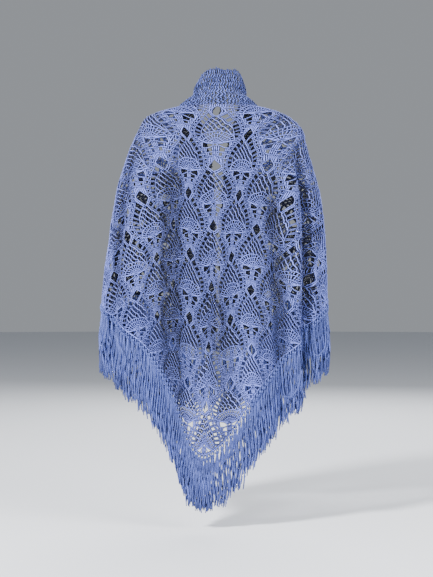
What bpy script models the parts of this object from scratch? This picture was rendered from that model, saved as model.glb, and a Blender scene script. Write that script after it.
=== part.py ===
"""A crocheted triangular shawl in pineapple lace, with the form it takes when it is worn.

Units are metres with +Z up; the tables are in centimetres and degrees. The wearer faces -Y, so
the back of the shawl faces +Y and the wearer's left side is +X. The origin is the middle of the
neck at its base, where the shawl is held. Every piece is worked out on the flat cut first, in
(across, down) from the middle of the neck edge, and then laid on the worn form.
"""

import math

import bmesh
import bpy
import numpy as np

CM = 0.01
OBJECT_NAME = "lace_shawl"

# The flat cut. Pineapple motifs stand in rows, each row half a motif aside from the next.
MOTIF_WIDTH = 0.115
ROW_HEIGHT = 0.0755
MOTIF_ROWS = 11
CELLS_ACROSS_MOTIF = 6
CELLS_DOWN_ROW = 3
CELL_U = MOTIF_WIDTH / CELLS_ACROSS_MOTIF
CELL_V = ROW_HEIGHT / CELLS_DOWN_ROW
HEM_CELLS = 36
HALF_WIDTH = HEM_CELLS * CELL_U
DEPTH = HEM_CELLS * CELL_V
FRONT_CELL = 15
WALL = 0.0026
SEAM_GAP = 0.0006

# The openwork. Cells are stretched by HOLE_SLIMNESS across while holes open, so they come tall.
HOLE_SLIMNESS = 1.3
DIAMOND_REACH = 0.44
BOW_REACH = 0.22
BOW_ROWS_DOWN = 4

# Cells are halved where the worn cloth turns sharply: across at the wearer's right side, below
# the neck, and down in both fronts, from a little before their seams with the back.
HALVED_FROM = -19
HALVED_TO = -8
HALVED_BELOW = 3
HALVED_DOWN = 13
HALVED_FRONT = 13

# The long edge's band: its width, where its crease lies, and its cells across.
BAND_WIDTH = 0.095
BAND_CELLS = 5
COLLAR_CELLS = 7
BAND_GAP = 0.0008
BAND_KNEE = 0.032
TANGENT_REACH = 0.01
NORMAL_REACH = 0.006
ROLL_OUT = 0.005
ROLL_TOP = 0.6
CREASE_IN = 0.006
CREASE_SHARE = 0.62
CREASE_SPREAD = 0.2
COLLAR_FADES_AT = 0.09
COLLAR_FADE = 0.07
COLLAR_SHIFT = -0.007

# Fringe: two locks to each cell along the hem, and on along the band's slanted ends.
LOCKS_PER_CELL = 2
END_CELLS = 4
FRINGE_LENGTH = 0.148
TIP_SHORTER = 0.03
TIP_LOCKS = 8
STRIP_DROP = 0.0016
STRIP_HEIGHT = 0.006
FIRST_DROP = 0.022
LOCK_WIDTH = 0.66
LOCK_END_WIDTH = 0.5
LOCK_THICKNESS = 0.0075
LOCK_END_THICKNESS = 0.005
LOCK_SWAY = 0.004
SWAY_PACE = 2.4
LENGTH_SPREAD = 0.009
LENGTH_PACE = 1.7

# The falls are straight lines down the flat cut. At the back they fan out from a hub above the
# neck edge, and in front from the point where that edge passes the side of the neck.
NECK_SIDE = 0.085
HUB_RISE = 0.16
NECK_HEIGHT = -0.003
SQUARENESS = 2.2
SLOPE_HEIGHT = -0.013
SHOULDER_HEIGHT = -0.04
BLADES_HEIGHT = -0.12
WAIST_HEIGHT = -0.35
NECK_CROWDING = 1.6
FALL_STEPS = 193
DROP_STEPS = 141
STRETCH_ACROSS = 12.0
NORMAL_BLUR = 2.0
TINY = 1e-5


def table(columns, *rows):
    """A small table: one array for each named column."""
    return dict(zip(columns.split(), np.array(rows, float).T, strict=True))


# Outlines of a general figure's cloth, from above: height, then half widths and depths.
RINGS = table(
    "height left right back front",
    (1.0, 7.0, 7.0, 6.2, 5.6),
    (-0.3, 10.0, 10.3, 7.2, 6.0),
    (-1.2, 13.6, 14.2, 8.1, 6.5),
    (-3.0, 18.0, 18.0, 9.3, 7.2),
    (-6.5, 20.0, 21.2, 11.0, 8.8),
    (-11.0, 22.0, 22.3, 12.5, 11.0),
    (-16.0, 23.7, 23.8, 13.4, 12.8),
    (-23.0, 25.5, 25.5, 14.1, 13.8),
    (-35.0, 27.3, 26.6, 14.7, 13.8),
    (-48.0, 28.8, 27.0, 15.0, 13.8),
    (-110.0, 29.5, 27.0, 14.2, 13.8),
)
# Each fall's turn about the body from the centre back, at six heights, and its hem's height.
# place: 0 is the centre back, 1 the side, 2 the front edge; minus is the wearer's right.
FALLS = table(
    "place neck slope shoulder blades waist hem height",
    (-2.00, -84, -134, -149, -156, -158, -158, -59),
    (-1.70, -84, -112, -124, -131, -133, -133, -47),
    (-1.35, -84, -94, -97, -97, -98, -98, -47.5),
    (-1.00, -84, -81, -74, -63, -61, -68, -51.5),
    (-0.75, -61, -57, -49, -38, -33, -49, -57),
    (-0.50, -38, -33, -26, -18.5, -22, -31.5, -63),
    (-0.25, -18, -15, -12, -10.5, -8, -17, -71),
    (0.00, 0.5, 0.5, 0.7, 1.5, 2, 5.5, -85.5),
    (0.25, 18, 15, 12, 12.5, 14.5, 21.5, -69.5),
    (0.50, 38, 35, 28, 22.5, 26.5, 34, -60),
    (0.75, 61, 57, 50, 43, 39, 53.5, -54.5),
    (1.00, 84, 81, 74, 62, 65, 75, -51),
    (1.35, 84, 94, 97, 97, 96, 98, -49),
    (1.70, 84, 112, 124, 131, 133, 133, -47),
    (2.00, 84, 134, 149, 156, 158, 158, -59),
)
# Folds: turn at the top and at the bottom, half width in degrees, depth (minus stands out), and
# the heights where a fold starts and where it reaches its bottom turn.
FOLDS = table(
    "turn_top turn_bottom half_width depth start end",
    (25, 19, 9, 1.8, -12, -80),
    (47, 46, 11, -0.9, -14, -58),
    (66, 62, 8, 1.1, -5, -34),
    (2, -3, 8, 0.7, -40, -80),
    (-14, -13, 9, -0.6, -30, -78),
    (-27, -32, 7, 1.4, -18, -62),
    (-41, -42, 7, -1.0, -16, -60),
    (-57, -50, 7, 2.7, -9, -60),
    (-76, -74, 9, -0.6, -20, -50),
    (104, 106, 9, 2.2, -10, -50),
    (121, 124, 8, -1.4, -12, -50),
    (139, 142, 9, 2.2, -9, -52),
    (-104, -107, 9, 2.2, -10, -50),
    (-122, -125, 8, -1.4, -12, -50),
    (-140, -143, 9, 2.2, -9, -52),
)
FOLD_FADE = 10 * CM
TURN_COLUMNS = ("neck", "slope", "shoulder", "blades", "waist", "hem")
TURN_HEIGHTS = (NECK_HEIGHT, SLOPE_HEIGHT, SHOULDER_HEIGHT, BLADES_HEIGHT, WAIST_HEIGHT)
# The band's free edge, from the centre back round the neck and down the front.
FREE_EDGE = table(
    "along x y z",
    (0, 0.0, 6.2, 8.4),
    (3.5, 3.2, 5.4, 8.1),
    (6.5, 4.9, 3.2, 7.2),
    (10, 5.4, -0.4, 5.2),
    (14, 5.2, -4.8, 1.6),
    (19, 3.9, -9.0, -4.0),
    (26, 2.0, -12.6, -11.5),
    (40, 0.9, -14.4, -25.5),
    (60, 0.6, -14.5, -45.5),
    (77, 0.6, -14.5, -62.5),
)

YARN_BLUE = (0.135, 0.165, 0.46, 1.0)
BAND_BLUE = (0.115, 0.145, 0.42, 1.0)
FRINGE_BLUE = (0.16, 0.19, 0.52, 1.0)
YARN_ROUGHNESS = 0.85


def clear_scene():
    for thing in list(bpy.data.objects):
        bpy.data.objects.remove(thing, do_unlink=True)


def new_collection(name):
    collection = bpy.data.collections.new(name)
    bpy.context.scene.collection.children.link(collection)
    return collection


def new_material(name, colour):
    material = bpy.data.materials.new(name)
    material.use_nodes = True
    shader = material.node_tree.nodes["Principled BSDF"]
    shader.inputs["Base Color"].default_value = colour
    shader.inputs["Roughness"].default_value = YARN_ROUGHNESS
    shader.inputs["Metallic"].default_value = 0.0
    return material


def smooth(knots, values, at):
    """A cubic curve through the values that never overshoots them."""
    order = np.argsort(knots)
    x = np.asarray(knots, float)[order]
    y = np.asarray(values, float)[order]
    step = np.diff(x)
    rise = np.diff(y) / step
    slope = np.zeros_like(y)
    slope[0] = rise[0]
    slope[-1] = rise[-1]
    before = 2 * step[1:] + step[:-1]
    after = step[1:] + 2 * step[:-1]
    same_way = rise[:-1] * rise[1:] > 0
    safe = np.where(rise == 0, 1.0, rise)
    mean = (before + after) / (before / safe[:-1] + after / safe[1:])
    slope[1:-1] = np.where(same_way, mean, 0.0)
    at = np.clip(at, x[0], x[-1])
    k = np.clip(np.searchsorted(x, at) - 1, 0, len(x) - 2)
    t = (at - x[k]) / step[k]
    start = (1 + 2 * t) * (1 - t) ** 2 * y[k] + t * (1 - t) ** 2 * step[k] * slope[k]
    end = t * t * (3 - 2 * t) * y[k + 1] + t * t * (t - 1) * step[k] * slope[k + 1]
    return start + end


def ease(t):
    t = np.clip(t, 0.0, 1.0)
    return t * t * (3 - 2 * t)


def fold_depth(turn, height):
    """How far the cloth stands inside its outline, at a turn in degrees and a height."""
    depth = np.zeros_like(height)
    for k in range(len(FOLDS["depth"])):
        start = FOLDS["start"][k] * CM
        end = FOLDS["end"][k] * CM
        share = np.clip((height - start) / (end - start), 0.0, 1.0)
        centre = FOLDS["turn_top"][k] + (FOLDS["turn_bottom"][k] - FOLDS["turn_top"][k]) * share
        away = np.clip(np.abs(turn - centre) / FOLDS["half_width"][k], 0.0, 1.0)
        bell = np.cos(away * math.pi / 2) ** 2
        depth += FOLDS["depth"][k] * CM * bell * ease((start - height) / FOLD_FADE)
    return depth


def outline_point(turn, height, folded=True):
    """The worn cloth's place at a turn about the body, in degrees, and a height."""
    angle = np.radians(turn)
    sine = np.sin(angle)
    cosine = np.cos(angle)
    rings = {name: smooth(RINGS["height"] * CM, RINGS[name] * CM, height) for name in RINGS}
    half_width = np.where(sine > 0, rings["left"], rings["right"])
    depth = np.where(cosine > 0, rings["back"], rings["front"])
    across = np.sign(sine) * np.abs(sine) ** (2 / SQUARENESS)
    along = np.sign(cosine) * np.abs(cosine) ** (2 / SQUARENESS)
    normal_x = np.sign(across) * np.abs(across) ** (SQUARENESS - 1) / half_width
    normal_y = np.sign(along) * np.abs(along) ** (SQUARENESS - 1) / depth
    inward = fold_depth(turn, height) * folded / np.hypot(normal_x, normal_y)
    x = half_width * across - normal_x * inward
    y = depth * along - normal_y * inward
    return np.stack([x, y, height], axis=-1)


def blur(count, width):
    """A matrix that averages each of a row of values with its neighbours."""
    steps = np.arange(count)
    weights = np.exp(-(((steps[:, None] - steps) / width) ** 2) / 2)
    return weights / weights.sum(axis=1, keepdims=True)


def even_out(turns, heights):
    """Slows the turn about the body in folds, so that their cloth isn't stretched."""
    with_folds = outline_point(turns, heights)[..., :2]
    without = outline_point(turns, heights, folded=False)[..., :2]
    real = np.linalg.norm(np.diff(with_folds, axis=0), axis=2) + TINY
    plain = np.linalg.norm(np.diff(without, axis=0), axis=2) + TINY
    extra = real / plain
    spread = blur(len(extra), STRETCH_ACROSS) @ extra / extra
    middle = FALL_STEPS // 2
    evened = turns.copy()
    for half in (slice(0, middle), slice(middle, FALL_STEPS - 1)):
        step = np.diff(turns, axis=0)[half] * spread[half]
        step *= (turns[half.stop] - turns[half.start]) / step.sum(axis=0)
        evened[half.start + 1 : half.stop + 1] = turns[half.start] + np.cumsum(step, axis=0)
    return evened


def draped_falls():
    """Points down every fall, evenly spaced along it, and the outward normals there."""
    places = np.linspace(-2, 2, FALL_STEPS)
    drops = np.linspace(0, 1, DROP_STEPS)
    falls = {name: smooth(FALLS["place"], FALLS[name], places) for name in FALLS}
    turns = np.empty((FALL_STEPS, DROP_STEPS))
    heights = np.empty((FALL_STEPS, DROP_STEPS))
    for i in range(FALL_STEPS):
        hem = falls["height"][i] * CM
        height = NECK_HEIGHT + (hem - NECK_HEIGHT) * drops**NECK_CROWDING
        knots = (*TURN_HEIGHTS, hem)
        at_knots = [falls[name][i] for name in TURN_COLUMNS]
        turn = smooth(knots, at_knots, height)
        path = outline_point(turn, height)
        run = np.concatenate([[0], np.cumsum(np.linalg.norm(np.diff(path, axis=0), axis=1))])
        turns[i] = np.interp(drops * run[-1], run, turn)
        heights[i] = np.interp(drops * run[-1], run, height)
    points = outline_point(even_out(turns, heights), heights)
    along = np.gradient(points, axis=0)
    down = np.gradient(points, axis=1)
    normals = np.cross(along, down)
    normals[:, 0] = normals[:, 2]
    normals[:, 1] = normals[:, 2]
    normals /= np.linalg.norm(normals, axis=2, keepdims=True)
    for axis in range(3):
        across = blur(FALL_STEPS, NORMAL_BLUR) @ normals[..., axis]
        normals[..., axis] = across @ blur(DROP_STEPS, NORMAL_BLUR).T
    return points, normals


POINTS, NORMALS = draped_falls()


def on_falls(u, v):
    """Which fall a point of the flat cut lies on, and how far down it, as a share."""
    across = np.abs(u)
    side = NECK_SIDE * (1 + v / HUB_RISE)
    back_place = np.minimum(across / side, 1.0)
    back_hem = (HALF_WIDTH - NECK_SIDE * back_place) / (
        NECK_SIDE * back_place / HUB_RISE + HALF_WIDTH / DEPTH
    )
    first = math.atan(NECK_SIDE / HUB_RISE)
    angle = np.arctan2(across - NECK_SIDE, np.maximum(v, TINY))
    front_place = 1 + (angle - first) / (math.pi / 2 - first)
    front_hem = (HALF_WIDTH - NECK_SIDE) / (np.sin(angle) + np.cos(angle) * HALF_WIDTH / DEPTH)
    front_drop = np.hypot(across - NECK_SIDE, v) / front_hem
    at_back = across <= side
    place = np.where(at_back, back_place, front_place) * np.sign(u)
    return place, np.where(at_back, v / back_hem, front_drop)


def blend_cells(grid, row, column):
    """Reads a grid of points between its rows and columns."""
    row = np.clip(row, 0, grid.shape[0] - 1 - TINY)
    column = np.clip(column, 0, grid.shape[1] - 1 - TINY)
    i = row.astype(int)
    j = column.astype(int)
    a = (row - i)[:, None]
    b = (column - j)[:, None]
    upper = grid[i, j] * (1 - b) + grid[i, j + 1] * b
    lower = grid[i + 1, j] * (1 - b) + grid[i + 1, j + 1] * b
    return upper * (1 - a) + lower * a


def lace_place(u, v, out=0.0):
    """The worn place of points on the flat lace, and their normals."""
    place, drop = on_falls(u, v)
    row = (place + 2) / 4 * (FALL_STEPS - 1)
    column = drop * (DROP_STEPS - 1)
    normal = blend_cells(NORMALS, row, column)
    normal /= np.linalg.norm(normal, axis=1, keepdims=True)
    return blend_cells(POINTS, row, column) + normal * np.reshape(out, (-1, 1)), normal


def band_points(u, share):
    """The worn place of points on the band: share is 0 at the lace and 1 at the free edge."""
    on_lace = np.clip(u, -HALF_WIDTH, HALF_WIDTH)
    seam, _ = lace_place(on_lace, np.zeros_like(u))
    inside, _ = lace_place(on_lace * (1 - TANGENT_REACH / HALF_WIDTH), np.full_like(u, TANGENT_REACH))
    leaving = seam - inside
    leaving /= np.linalg.norm(leaving, axis=1, keepdims=True)
    along = np.abs(u)
    edge = np.stack(
        [smooth(FREE_EDGE["along"] * CM, FREE_EDGE[name] * CM, along) for name in "xyz"], axis=-1
    )
    edge[:, 0] *= np.sign(u)
    round_neck = 1 - ease((along - COLLAR_FADES_AT) / COLLAR_FADE)
    edge[:, 0] += COLLAR_SHIFT * round_neck
    roll = ROLL_OUT * np.sin(math.pi * np.clip(share / ROLL_TOP, 0, 1)) ** 2
    from_crease = np.clip(np.abs(share - CREASE_SHARE) / CREASE_SPREAD, 0, 1)
    crease = CREASE_IN * np.cos(math.pi / 2 * from_crease) ** 2
    outward = edge * (1, 1, 0)
    outward /= np.linalg.norm(outward, axis=1, keepdims=True)
    bulge = ((roll - crease) * round_neck)[:, None]
    share = share[:, None]
    knee = seam + leaving * BAND_KNEE
    curve = seam * (1 - share) ** 2 + knee * 2 * share * (1 - share) + edge * share**2
    return curve + outward * bulge


def band_place(u, share, out=0.0):
    """The worn place of points on the band, moved out along its normals, and the normals."""
    along = band_points(u + NORMAL_REACH, share) - band_points(u - NORMAL_REACH, share)
    step = NORMAL_REACH / BAND_WIDTH
    up = band_points(u, share + step) - band_points(u, share - step)
    normal = np.cross(up, along)
    normal /= np.linalg.norm(normal, axis=1, keepdims=True)
    return band_points(u, share) + normal * np.reshape(out, (-1, 1)), normal


def finish_piece(bm, name, collection, material):
    mesh = bpy.data.meshes.new(name)
    bm.to_mesh(mesh)
    bm.free()
    mesh.materials.append(material)
    piece = bpy.data.objects.new(name, mesh)
    collection.objects.link(piece)
    return piece


def thicken(bm):
    """Gives the flat piece its wall, one unit thick, so both faces are laid out alike."""
    bmesh.ops.triangulate(bm, faces=bm.faces[:])
    bmesh.ops.solidify(bm, geom=bm.faces[:], thickness=1.0)
    flat = np.array([vert.co[:] for vert in bm.verts])
    out = (flat[:, 2] - flat[:, 2].mean()) * WALL
    return flat[:, 0], flat[:, 1], out


def move_points(bm, mapped):
    for vert, place in zip(bm.verts, mapped, strict=True):
        vert.co = place


def cut_away(bm, point, normal):
    """Cuts the flat piece along a line and drops what lies beyond it."""
    bmesh.ops.bisect_plane(
        bm,
        geom=bm.verts[:] + bm.edges[:] + bm.faces[:],
        dist=TINY,
        plane_co=point,
        plane_no=normal,
        clear_outer=True,
    )


def halve_cells(bm, axis, cells, chosen):
    """Cuts the chosen faces along the middles of the listed cells, without parting them."""
    for cell in cells:
        faces = [face for face in bm.faces if chosen(face.calc_center_median())]
        edges = {edge for face in faces for edge in face.edges}
        verts = {vert for face in faces for vert in face.verts}
        point = ((cell + 0.5) * HOLE_SLIMNESS, cell + 0.5, 0)
        bmesh.ops.bisect_plane(
            bm,
            geom=[*verts, *edges, *faces],
            dist=TINY,
            plane_co=point,
            plane_no=axis,
        )


def open_holes(bm, cells, reach):
    """Opens a hole round each listed crossing of the cell lines."""
    at = {(round(vert.co.x / HOLE_SLIMNESS, 3), round(vert.co.y, 3)): vert for vert in bm.verts}
    chosen = [at[cell] for cell in cells if cell in at and not at[cell].is_boundary]
    opened = bmesh.ops.bevel(
        bm,
        geom=chosen,
        offset=reach,
        offset_type="OFFSET",
        affect="VERTICES",
        segments=1,
        profile=0.5,
        material=-1,
    )
    bmesh.ops.delete(bm, geom=opened["faces"], context="FACES_ONLY")


def hole_cells():
    """Cell crossings of the diamond at each motif's point and of the bow below each motif."""
    diamonds = []
    bows = []
    for row in range(MOTIF_ROWS):
        down = 1 + row * CELLS_DOWN_ROW
        last = MOTIF_ROWS - 1 - row
        for motif in range(-last, last + 1, 2):
            across = motif * CELLS_ACROSS_MOTIF // 2
            diamonds.append((across, down))
            for side in (-1, 1):
                bows.append((across + side, down + BOW_ROWS_DOWN))
            bows.append((across, down + BOW_ROWS_DOWN + 1))
    return diamonds, bows


def make_lace(name, first, last, collection, material):
    """A stretch of the lace between two cell lines, with its openwork cut through."""
    bm = bmesh.new()
    bmesh.ops.create_grid(bm, x_segments=2 * HEM_CELLS, y_segments=HEM_CELLS, size=0.5)
    for vert in bm.verts:
        vert.co.x *= 2 * HEM_CELLS * HOLE_SLIMNESS
        vert.co.y = (vert.co.y + 0.5) * HEM_CELLS
    for side in (-1, 1):
        cut_away(bm, (0, HEM_CELLS, 0), (side / HOLE_SLIMNESS, 1, 0))
    half_gap = SEAM_GAP / 2 / CELL_U
    if first > -HEM_CELLS:
        cut_away(bm, ((first + half_gap) * HOLE_SLIMNESS, 0, 0), (-1, 0, 0))
    if last < HEM_CELLS:
        cut_away(bm, ((last - half_gap) * HOLE_SLIMNESS, 0, 0), (1, 0, 0))
    front = HALVED_FRONT * HOLE_SLIMNESS
    halve_cells(bm, (1, 0, 0), range(HALVED_FROM, HALVED_TO), lambda middle: middle.y > HALVED_BELOW)
    halve_cells(bm, (0, 1, 0), range(HALVED_DOWN), lambda middle: abs(middle.x) > front)
    diamonds, bows = hole_cells()
    open_holes(bm, diamonds, DIAMOND_REACH)
    open_holes(bm, bows, BOW_REACH)
    x, y, out = thicken(bm)
    mapped, _ = lace_place(x / HOLE_SLIMNESS * CELL_U, y * CELL_V, out)
    move_points(bm, mapped)
    return finish_piece(bm, name, collection, material)


def make_band(name, first, last, cells, collection, material):
    """A stretch of the band between two cell lines of the long edge."""
    bm = bmesh.new()
    bmesh.ops.create_grid(bm, x_segments=last - first, y_segments=cells, size=0.5)
    x, y, out = thicken(bm)
    across = (x + 0.5) * (last - first) + first
    half_gap = SEAM_GAP / 2 / CELL_U
    across = np.clip(across, first + half_gap, last - half_gap)
    share = y + 0.5
    slant = 1 + share * BAND_WIDTH / DEPTH * (abs(across) > HEM_CELLS - 1)
    seam_share = BAND_GAP / BAND_WIDTH
    share = seam_share + share * (1 - seam_share)
    mapped, _ = band_place(across * CELL_U * slant, share, out)
    move_points(bm, mapped)
    bmesh.ops.reverse_faces(bm, faces=bm.faces[:])
    return finish_piece(bm, name, collection, material)


def hem_place(side, cell):
    """Places on the hem, counted in cells from the back tip and on along the band's end."""
    on_lace = np.minimum(cell, HEM_CELLS)
    points, normals = lace_place(side * on_lace * CELL_U, (HEM_CELLS - on_lace) * CELL_V)
    share = np.clip((cell - HEM_CELLS) / END_CELLS, 0, 1)
    slant = 1 + share * BAND_WIDTH / DEPTH
    end_points, end_normals = band_place(side * HALF_WIDTH * slant, share)
    past = (cell > HEM_CELLS)[:, None]
    return np.where(past, end_points, points), np.where(past, end_normals, normals)


def make_fringe(name, side, first, last, collection, material):
    """The locks of one stretch of hem, fused at their roots in a narrow strip."""
    count = (last - first) * LOCKS_PER_CELL
    bm = bmesh.new()
    bmesh.ops.create_grid(bm, x_segments=count, y_segments=1, size=0.5)
    for vert in bm.verts:
        vert.co.x = (vert.co.x + 0.5) * count
        vert.co.y = -STRIP_DROP if vert.co.y > 0 else -STRIP_DROP - STRIP_HEIGHT
        vert.co.z = -WALL / 2
    top = bmesh.ops.extrude_face_region(bm, geom=bm.faces[:])
    raised = [item for item in top["geom"] if isinstance(item, bmesh.types.BMVert)]
    bmesh.ops.translate(bm, vec=(0, 0, WALL), verts=raised)
    bmesh.ops.recalc_face_normals(bm, faces=bm.faces[:])
    roots = [face for face in bm.faces if face.normal.y < -0.9]
    roots.sort(key=lambda face: face.calc_center_median().x)
    for lock, root in enumerate(roots):
        grow_lock(bm, root, lock, lock + first * LOCKS_PER_CELL)
    flat = np.array([vert.co[:] for vert in bm.verts])
    cell = first + flat[:, 0] / LOCKS_PER_CELL
    half_gap = SEAM_GAP / 2 / CELL_U
    cell = np.clip(cell, first + half_gap, last - half_gap)
    root, normal = hem_place(side, cell)
    mapped = root + normal * flat[:, 2:3]
    mapped[:, 2] += flat[:, 1]
    move_points(bm, mapped)
    if side > 0:
        bmesh.ops.reverse_faces(bm, faces=bm.faces[:])
    return finish_piece(bm, name, collection, material)


def grow_lock(bm, root, lock, seed):
    """Draws one lock down from its root: narrow below the knot, then hanging to its end."""
    sway = LOCK_SWAY * math.sin(SWAY_PACE * seed)
    length = FRINGE_LENGTH + LENGTH_SPREAD * math.sin(LENGTH_PACE * seed + 1)
    length -= TIP_SHORTER * max(0, 1 - seed / TIP_LOCKS)
    middle = lock + 0.5
    face = root
    steps = (
        (FIRST_DROP, LOCK_WIDTH, LOCK_THICKNESS),
        (length, LOCK_END_WIDTH, LOCK_END_THICKNESS),
    )
    for drop, width, thickness in steps:
        grown = bmesh.ops.extrude_discrete_faces(bm, faces=[face])
        face = grown["faces"][0]
        for vert in face.verts:
            aside = 0.5 if vert.co.x > middle else -0.5
            ahead = 0.5 if vert.co.z > 0 else -0.5
            vert.co.x = middle + aside * width
            vert.co.y = -drop
            vert.co.z = ahead * thickness + sway * drop / length


def main():
    clear_scene()
    parts = new_collection(OBJECT_NAME)
    lace = new_material("yarn_lace", YARN_BLUE)
    band = new_material("yarn_band", BAND_BLUE)
    fringe = new_material("yarn_fringe", FRINGE_BLUE)
    make_lace("lace_back", -FRONT_CELL, FRONT_CELL, parts, lace)
    make_lace("lace_front_left", FRONT_CELL, HEM_CELLS, parts, lace)
    make_lace("lace_front_right", -HEM_CELLS, -FRONT_CELL, parts, lace)
    make_band("collar", -COLLAR_CELLS, COLLAR_CELLS, BAND_CELLS, parts, band)
    make_band("band_left", COLLAR_CELLS, HEM_CELLS, BAND_CELLS, parts, band)
    make_band("band_right", -HEM_CELLS, -COLLAR_CELLS, BAND_CELLS, parts, band)
    make_fringe("fringe_back_left", 1, 0, FRONT_CELL, parts, fringe)
    make_fringe("fringe_back_right", -1, 0, FRONT_CELL, parts, fringe)
    make_fringe("fringe_front_left", 1, FRONT_CELL, HEM_CELLS + END_CELLS, parts, fringe)
    make_fringe("fringe_front_right", -1, FRONT_CELL, HEM_CELLS + END_CELLS, parts, fringe)


main()
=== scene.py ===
"""A worn crocheted shawl in yarn: pineapple lace, a band of close stitches, a knotted fringe.

Units are metres with +Z up; the charts and tables are in centimetres and degrees. The wearer
faces -Y, so the back of the shawl faces +Y and the wearer's left side is +X. The strands of the
lace and the band are worked out on the flat cut first, as (across, down, out), and then laid on
the worn form. The fringe hangs from the worn hem.
"""

import math

import bmesh
import bpy
import numpy as np
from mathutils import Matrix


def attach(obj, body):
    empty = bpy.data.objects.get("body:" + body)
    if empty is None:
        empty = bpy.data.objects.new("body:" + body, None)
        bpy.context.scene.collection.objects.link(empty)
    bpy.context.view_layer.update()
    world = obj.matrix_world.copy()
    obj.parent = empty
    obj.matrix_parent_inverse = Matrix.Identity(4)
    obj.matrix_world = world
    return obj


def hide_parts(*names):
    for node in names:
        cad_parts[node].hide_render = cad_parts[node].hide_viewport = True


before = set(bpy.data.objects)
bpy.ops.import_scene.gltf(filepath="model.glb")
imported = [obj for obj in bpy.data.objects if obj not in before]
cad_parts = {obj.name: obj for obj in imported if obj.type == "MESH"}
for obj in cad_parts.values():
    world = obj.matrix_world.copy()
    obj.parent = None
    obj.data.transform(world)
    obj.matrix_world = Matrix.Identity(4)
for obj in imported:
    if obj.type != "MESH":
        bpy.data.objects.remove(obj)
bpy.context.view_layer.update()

CM = 0.01
TINY = 1e-5

# The flat cut. Pineapple motifs stand in rows, each row half a motif aside from the next.
MOTIF_WIDTH = 0.115
ROW_HEIGHT = 0.0755
MOTIF_ROWS = 11
ROWS_ABOVE = 2
CELL_U = MOTIF_WIDTH / 6
CELL_V = ROW_HEIGHT / 3
HEM_CELLS = 36
HALF_WIDTH = HEM_CELLS * CELL_U
DEPTH = HEM_CELLS * CELL_V
FRONT_CELL = 15
FRONT_EDGE = FRONT_CELL * CELL_U
MIDDLE_EDGE = 0.081
FIRST_DIAMOND = CELL_V

# The long edge's band, and how it stands round the neck.
BAND_WIDTH = 0.095
COLLAR_END = 7 * CELL_U
BAND_KNEE = 0.032
TANGENT_REACH = 0.01
NORMAL_REACH = 0.006
ROLL_OUT = 0.005
ROLL_TOP = 0.6
CREASE_IN = 0.006
CREASE_SHARE = 0.62
CREASE_SPREAD = 0.2
COLLAR_FADES_AT = 0.09
COLLAR_FADE = 0.07
COLLAR_SHIFT = -0.007

# The fringe's reach: tassels to each cell along the hem, and on along the band's slanted ends.
LOCKS_PER_CELL = 2
END_CELLS = 4
FRINGE_LENGTH = 0.148
LENGTH_VARIES = 0.008
LENGTH_WAVE = 1.7
TIP_SHORTER = 0.03
TIP_LOCKS = 8

# The falls are straight lines down the flat cut. At the back they fan out from a hub above the
# neck edge, and in front from the point where that edge passes the side of the neck.
NECK_SIDE = 0.085
HUB_RISE = 0.16
NECK_HEIGHT = -0.003
SQUARENESS = 2.2
SLOPE_HEIGHT = -0.013
SHOULDER_HEIGHT = -0.04
BLADES_HEIGHT = -0.12
WAIST_HEIGHT = -0.35
NECK_CROWDING = 1.6
LAST_PLACE = 2
FALL_STEPS = 193
DROP_STEPS = 141
STRETCH_ACROSS = 12.0
NORMAL_BLUR = 2.0


def table(columns, *rows):
    """A small table: one array for each named column."""
    return dict(zip(columns.split(), np.array(rows, float).T, strict=True))


# Outlines of a general figure's cloth, from above: height, then half widths and depths.
RINGS = table(
    "height left right back front",
    (1.0, 7.0, 7.0, 6.2, 5.6),
    (-0.3, 10.0, 10.3, 7.2, 6.0),
    (-1.2, 13.6, 14.2, 8.1, 6.5),
    (-3.0, 18.0, 18.0, 9.3, 7.2),
    (-6.5, 20.0, 21.2, 11.0, 8.8),
    (-11.0, 22.0, 22.3, 12.5, 11.0),
    (-16.0, 23.7, 23.8, 13.4, 12.8),
    (-23.0, 25.5, 25.5, 14.1, 13.8),
    (-35.0, 27.3, 26.6, 14.7, 13.8),
    (-48.0, 28.8, 27.0, 15.0, 13.8),
    (-110.0, 29.5, 27.0, 14.2, 13.8),
)
# Each fall's turn about the body from the centre back, at six heights, and its hem's height.
# place: 0 is the centre back, 1 the side, 2 the front edge; minus is the wearer's right.
FALLS = table(
    "place neck slope shoulder blades waist hem height",
    (-2.00, -84, -134, -149, -156, -158, -158, -59),
    (-1.70, -84, -112, -124, -131, -133, -133, -47),
    (-1.35, -84, -94, -97, -97, -98, -98, -47.5),
    (-1.00, -84, -81, -74, -63, -61, -68, -51.5),
    (-0.75, -61, -57, -49, -38, -33, -49, -57),
    (-0.50, -38, -33, -26, -18.5, -22, -31.5, -63),
    (-0.25, -18, -15, -12, -10.5, -8, -17, -71),
    (0.00, 0.5, 0.5, 0.7, 1.5, 2, 5.5, -85.5),
    (0.25, 18, 15, 12, 12.5, 14.5, 21.5, -69.5),
    (0.50, 38, 35, 28, 22.5, 26.5, 34, -60),
    (0.75, 61, 57, 50, 43, 39, 53.5, -54.5),
    (1.00, 84, 81, 74, 62, 65, 75, -51),
    (1.35, 84, 94, 97, 97, 96, 98, -49),
    (1.70, 84, 112, 124, 131, 133, 133, -47),
    (2.00, 84, 134, 149, 156, 158, 158, -59),
)
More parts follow.
